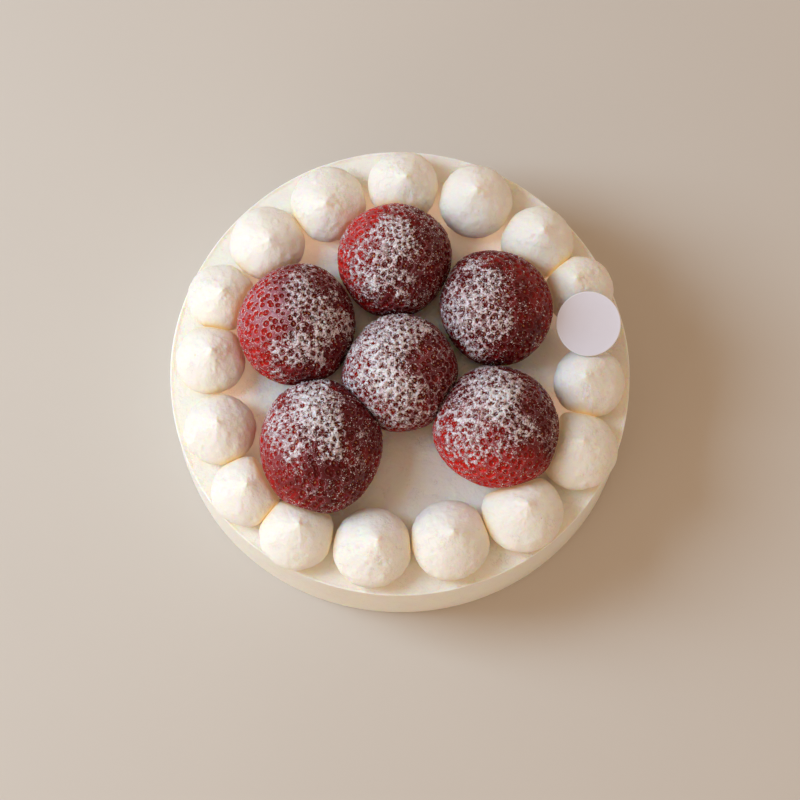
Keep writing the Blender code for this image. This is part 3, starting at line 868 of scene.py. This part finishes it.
# skin with its pits and sugar: the unit form sized, turned and leaned, then moved along its
# normals, in for each pit and out for the sugar; also keeps the places for its seeds and grains
def buildStrawberry(index, name, row):
    form = strawberries
    shape, flankTo, everywhere, filmAmount, filmPatches, patches = row
    width, deep, length, bearing, lean, turn = shape[2:]
    draw = np.random.default_rng(70 + index)
    rows, columns = form["gridRows"], form["gridColumns"]
    latitude = np.linspace(0.5 * math.pi, -0.5 * math.pi, rows + 2)[1:-1]
    directions = turnSection(np.cos(latitude), np.sin(latitude), columns)
    directions = np.vstack([directions, (0.0, 0.0, 1.0), (0.0, 0.0, -1.0)])
    size = np.array((0.5 * width, 0.5 * deep, length))
    area = 2.0 * fullTurn * (0.25 * (width + deep)) ** 2
    count = int(area / (hexShare * form["pitSpacing"] ** 2))
    spacing = math.sqrt(2.0 * fullTurn / (hexShare * count))
    pits = goldenSpiral(count)
    pits = pits + draw.normal(0.0, form["jitter"] * spacing, pits.shape)
    pits /= np.linalg.norm(pits, axis=1)[:, None]
    sizes = draw.uniform(*form["pitSizes"], count)
    nearest, second = pitDistances(directions, pits, sizes, spacing)
    pit = 1.0 - smoothStep(nearest, form["pitFloor"], form["pitRim"])
    crest = np.exp(-((second - nearest) / form["crestWidth"]) ** 2) * (1.0 - pit)
    own = turnAbout("Z", turn)
    toward = math.radians(bearing)
    leaning = turnAbout((-math.sin(toward), math.cos(toward), 0.0), lean)
    middle = places[f"strawberry_{name}"][0]
    points = berryForm(directions) @ own.T * size @ leaning.T + middle
    normals = gridNormals(points, rows, columns)
    planes = pressPlanes(f"strawberry_{name}")
    bed = (np.array((0.0, 0.0, cakeForm["height"])), np.array((0.0, 0.0, 1.0)))
    shaped = points + normals * roughness(form["bumps"], points, 60 + index, 2)[:, None]
    for origin, normal in planes + [bed]:
        shaped = holdBack(shaped, origin, normal)
    patch = layeredNoise(points, 5.0, 80 + index, 3)
    facing = smoothStep(normals[:, 2], -0.1, 0.35)
    cover = (everywhere + form["sugar"] * sugarCover(points, middle, patches)
             + form["sugarPatches"] * patch)
    cover = np.where(cover > 0.0, cover * facing, cover)
    lumps = layeredNoise(points, 0.9, 100 + index, 2)
    sugared = smoothStep(cover + 0.62 * (1.0 - pit) + 0.25 * lumps, 0.95, 1.4)
    sink = form["crestHeight"] * crest - form["pitDepth"] * pit
    sink = sink + form["sugarThickness"] * sugared * (1.0 + form["sugarLumps"] * lumps)
    shaped = shaped + normals * sink[:, None]
    # brighter toward the foot, and on the flank where the brightening is partly painted light
    ripeAndLit = form["lowerBright"] * smoothStep(directions[:, 2], 0.6, -0.5)
    ripeAndLit = (ripeAndLit + brighterFlank(points, middle, flankTo)).clip(0.0, 1.0)
    film = (filmAmount + sugarCover(points, middle, filmPatches)
            + form["filmPatches"] * patch).clip(0.0, 1.0)
    film = film * smoothStep(normals[:, 2], -0.3, 0.2)
    addPiece(f"berry_{name}", shaped, closedGrid(rows, columns), flesh,
             {"pit": pit, "crest": crest, "cover": cover, "ripeAndLit": ripeAndLit, "film": film},
             f"strawberry_{name}")
    shown = pits[pits[:, 2] > form["seedsAbove"]]
    closest = np.argmax(shown.astype(np.float32) @ directions.T.astype(np.float32), axis=1)
    seedPlaces.append((shaped[closest], normals[closest], cover[closest]))
    # grains settle more where the face looks up, where sugar lies, in clumps, not in the pits
    chance = np.repeat(np.cos(latitude), columns) * smoothStep(normals[:-2, 2], -0.15, 0.3)
    clump = layeredNoise(points[:-2], 1.7, 120 + index, 2)
    settled = (0.25 + cover[:-2].clip(0.0, 0.6) + 0.3 * patch[:-2] + 0.5 * clump).clip(0.04)
    chance = chance * settled * (1.0 - 0.6 * pit[:-2])
    chosen = draw.choice(len(chance), form["grainsEach"], p=chance / chance.sum())
    grainPlaces.append((shaped[chosen], normals[chosen]))


for index, (name, row) in enumerate(berries.items()):
    buildStrawberry(index, name, row)
print("strawberries made")


seeds = {
    "length": 1.0, "width": 0.62, "thickness": 0.42, "sides": 6, "rings": 2, "narrowing": 0.28,
    "rise": 0.02, "turnSpread": 0.22, "scales": (0.85, 1.12),
}


# a teardrop, closed by its two ends: radius is a sine, narrowed toward the upper end
def seedForm():
    turn = np.linspace(0.0, math.pi, seeds["rings"] + 2)[1:-1]
    radius = np.sin(turn) * (1.0 - seeds["narrowing"] * np.cos(turn))
    half = 0.5 * seeds["length"]
    body = turnSection(radius, half * np.cos(turn), seeds["sides"],
                       0.5 * seeds["width"], 0.5 * seeds["thickness"])
    return np.vstack([body, (0.0, 0.0, half), (0.0, 0.0, -half)])


# copies of one small form, each turned to its own three axes, scaled and moved as whole arrays
def scatter(form, faces, centres, sideways, outward, lengthways, scale):
    quads, fans = faces
    axes = np.stack([sideways, outward, lengthways], axis=1)
    points = np.einsum("pk,nkc->npc", form, axes) * scale[:, None, None] + centres[:, None, :]
    step = (np.arange(len(centres)) * len(form))[:, None, None]
    return points.reshape(-1, 3), ((quads + step).reshape(-1, 4), (fans + step).reshape(-1, 3))


# a frame on the surface: the direction up the surface, turned by a random angle, and its pair
def surfaceAxes(normals, angle):
    up = np.array((0.0, 0.0, 1.0)) - normals[:, 2:] * normals + (1e-4, 0.0, 0.0)
    up /= np.linalg.norm(up, axis=1)[:, None]
    side = np.cross(normals, up)
    turned = np.cos(angle)[:, None] * up + np.sin(angle)[:, None] * side
    return np.cross(normals, turned), turned


# a seed in every pit that shows, its length up the berry, turned and scaled a little at random
def buildSeeds():
    draw = np.random.default_rng(5)
    centres, normals, cover = [np.concatenate(part) for part in zip(*seedPlaces)]
    count = len(centres)
    side, along = surfaceAxes(normals, draw.normal(0.0, seeds["turnSpread"], count))
    scale = draw.uniform(*seeds["scales"], count)
    centres = centres + normals * seeds["rise"]
    points, faces = scatter(seedForm(), closedGrid(seeds["rings"], seeds["sides"]), centres,
                            side, normals, along, scale)
    each = len(points) // count
    addPiece("berrySeeds", points, faces, seedHusk,
             {"tone": np.repeat(draw.random(count) ** 3, each), "cover": np.repeat(cover, each)})


buildSeeds()
print("seeds made")


grains = {
    "smallest": 0.17, "largest": 0.62, "rarity": 2.4, "shape": (0.5, 0.30, 0.40), "rise": 0.2,
    "stray": 0.1,
}


# an uneven eight-sided grain: six points on the axes
def grainForm():
    points = np.array(((1, 0, 0), (0, 0, 1), (-1, 0, 0), (0, 0, -1), (0, 1, 0), (0, -1, 0)), float)
    corner = np.arange(4)
    after = (corner + 1) % 4
    up = np.stack([np.full(4, 4), corner, after], axis=-1)
    down = np.stack([np.full(4, 5), after, corner], axis=-1)
    return points * grains["shape"], (np.empty((0, 4), int), np.concatenate([up, down]))


# grains at the berries' kept places: their size grows with a power of a random number, and they
# are turned at random, raised by a share of their size and strayed a little
def buildGrains():
    draw = np.random.default_rng(8)
    centres, normals = [np.concatenate(part) for part in zip(*grainPlaces)]
    count = len(centres)
    side, along = surfaceAxes(normals, draw.uniform(0.0, fullTurn, count))
    spread = draw.random(count) ** grains["rarity"]
    size = grains["smallest"] + (grains["largest"] - grains["smallest"]) * spread
    centres = centres + normals * (grains["rise"] * size)[:, None]
    centres = centres + draw.normal(0.0, grains["stray"], (count, 3))
    form, faces = grainForm()
    points, faces = scatter(form, faces, centres, side, normals, along, size)
    addPiece("sugarGrains", points, faces, sugar,
             {"tone": np.repeat(draw.random(count), len(form))})


buildGrains()
print("sugar grains made")


label = {
    "width": 22.2, "thickness": 0.8, "edge": 0.35, "tilt": 8.0, "hollow": 0.05,
    "columns": 160, "faceRings": 24, "edgeRings": 11, "backRings": 6,
}


# a round card: its section goes in from a rolled edge, and it is turned about its middle
def buildLabel():
    low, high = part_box("label_disc")
    middle = (np.array(low) + np.array(high)) / 2.0 / mm
    half, edge = 0.5 * label["width"], label["edge"]
    face, back = label["faceRings"], label["backRings"]
    roll = np.linspace(0.5 * math.pi, -0.5 * math.pi, label["edgeRings"])
    radius = np.concatenate([half * np.linspace(0.04, 0.96, face),
                             half - edge + edge * np.cos(roll),
                             half * np.linspace(0.96, 0.04, back)])
    level = np.concatenate([np.full(face, 0.5), 0.5 * np.sin(roll), np.full(back, -0.5)])
    level = level * label["thickness"]
    # the face is very slightly lower than the edge
    level[:face] -= label["hollow"] * (1.0 - smoothStep(radius[:face], half - 1.2, half - 0.5))
    rows, columns = len(radius), label["columns"]
    points = np.vstack([turnSection(radius, level, columns), (0.0, 0.0, level[0]),
                        (0.0, 0.0, level[-1])])
    # mask of the painted highlight along the edge
    edgeMask = smoothStep(np.hypot(points[:, 0], points[:, 1]), half - 0.4, half - 0.2)
    points = points @ turnAbout("X", label["tilt"]).T + middle
    addPiece("labelCardDisc", points, closedGrid(rows, columns), card,
             {"edge": edgeMask}, "label_disc")


buildLabel()
print("label made")


# the key is a tall window on the left, the fill as weak as a pale wall low in front
studio = {
    "floorSize": 6.0, "floorColor": (0.62, 0.57, 0.52, 1.0), "floorDim": 0.95,
    # power, width, height, place and colour
    "lights": {"key": (12.3, 0.45, 0.8, (-0.874, 0.131, 0.884), (0.64, 0.84, 1.0)),
               "fill": (2.2, 0.6, 0.6, (-0.75, -0.95, 0.42), (1.0, 0.88, 0.74))},
    "skyColor": (1.0, 0.72, 0.49, 1.0), "skyStrength": 0.58,
}


# pale floor with a faint cloudiness
def floorMaterial():
    material, sheet, shader, place = startMaterial("studioFloor", {"Roughness": 0.75})
    cloud = sheet.noise(place, 9.0, 3.0, 0.5)
    pale = studio["floorColor"]
    dim = tuple(studio["floorDim"] * part for part in pale[:3]) + (1.0,)
    sheet.link(sheet.mix(cloud, dim, pale), shader.inputs["Base Color"])
    return material


# an oblong of light aimed at the foot of the cake
def addLight(name, power, width, height, place, color):
    data = bpy.data.lights.new(name, "AREA")
    data.shape = "RECTANGLE"
    data.size = width
    data.size_y = height
    data.energy = power
    data.color = color
    light = addObject(name, data)
    light.location = place
    light.rotation_euler = (-light.location).to_track_quat("-Z", "Y").to_euler()


# floor, lights and an even sky
def buildStudio():
    half = 0.5 * studio["floorSize"]
    mesh = bpy.data.meshes.new("floor")
    mesh.from_pydata([(-half, -half, 0.0), (half, -half, 0.0), (half, half, 0.0),
                      (-half, half, 0.0)], [], [(0, 1, 2, 3)])
    mesh.materials.append(floorMaterial())
    floor = addObject("floor", mesh)
    for name, values in studio["lights"].items():
        addLight(name, *values)
    world = bpy.data.worlds.new("studio")
    world.use_nodes = True
    sky = world.node_tree.nodes["Background"]
    sky.inputs["Color"].default_value = studio["skyColor"]
    sky.inputs["Strength"].default_value = studio["skyStrength"]
    bpy.context.scene.world = world


cameraView = {
    "lens": 178.9, "sensor": 36.0, "place": (0.0, -0.2483, 1.398), "tilt": 10.0, "clipStart": 0.02,
}


# a long lens, looking down with the tilt measured from straight down
def buildCamera():
    data = bpy.data.cameras.new("camera")
    data.lens = cameraView["lens"]
    data.sensor_width = cameraView["sensor"]
    data.clip_start = cameraView["clipStart"]
    camera = addObject("camera", data)
    camera.location = cameraView["place"]
    camera.rotation_euler = (math.radians(cameraView["tilt"]), 0.0, 0.0)
    bpy.context.scene.camera = camera


buildStudio()
buildCamera()
bpy.context.scene.view_settings.view_transform = "Standard"
bpy.context.scene.view_settings.look = "None"
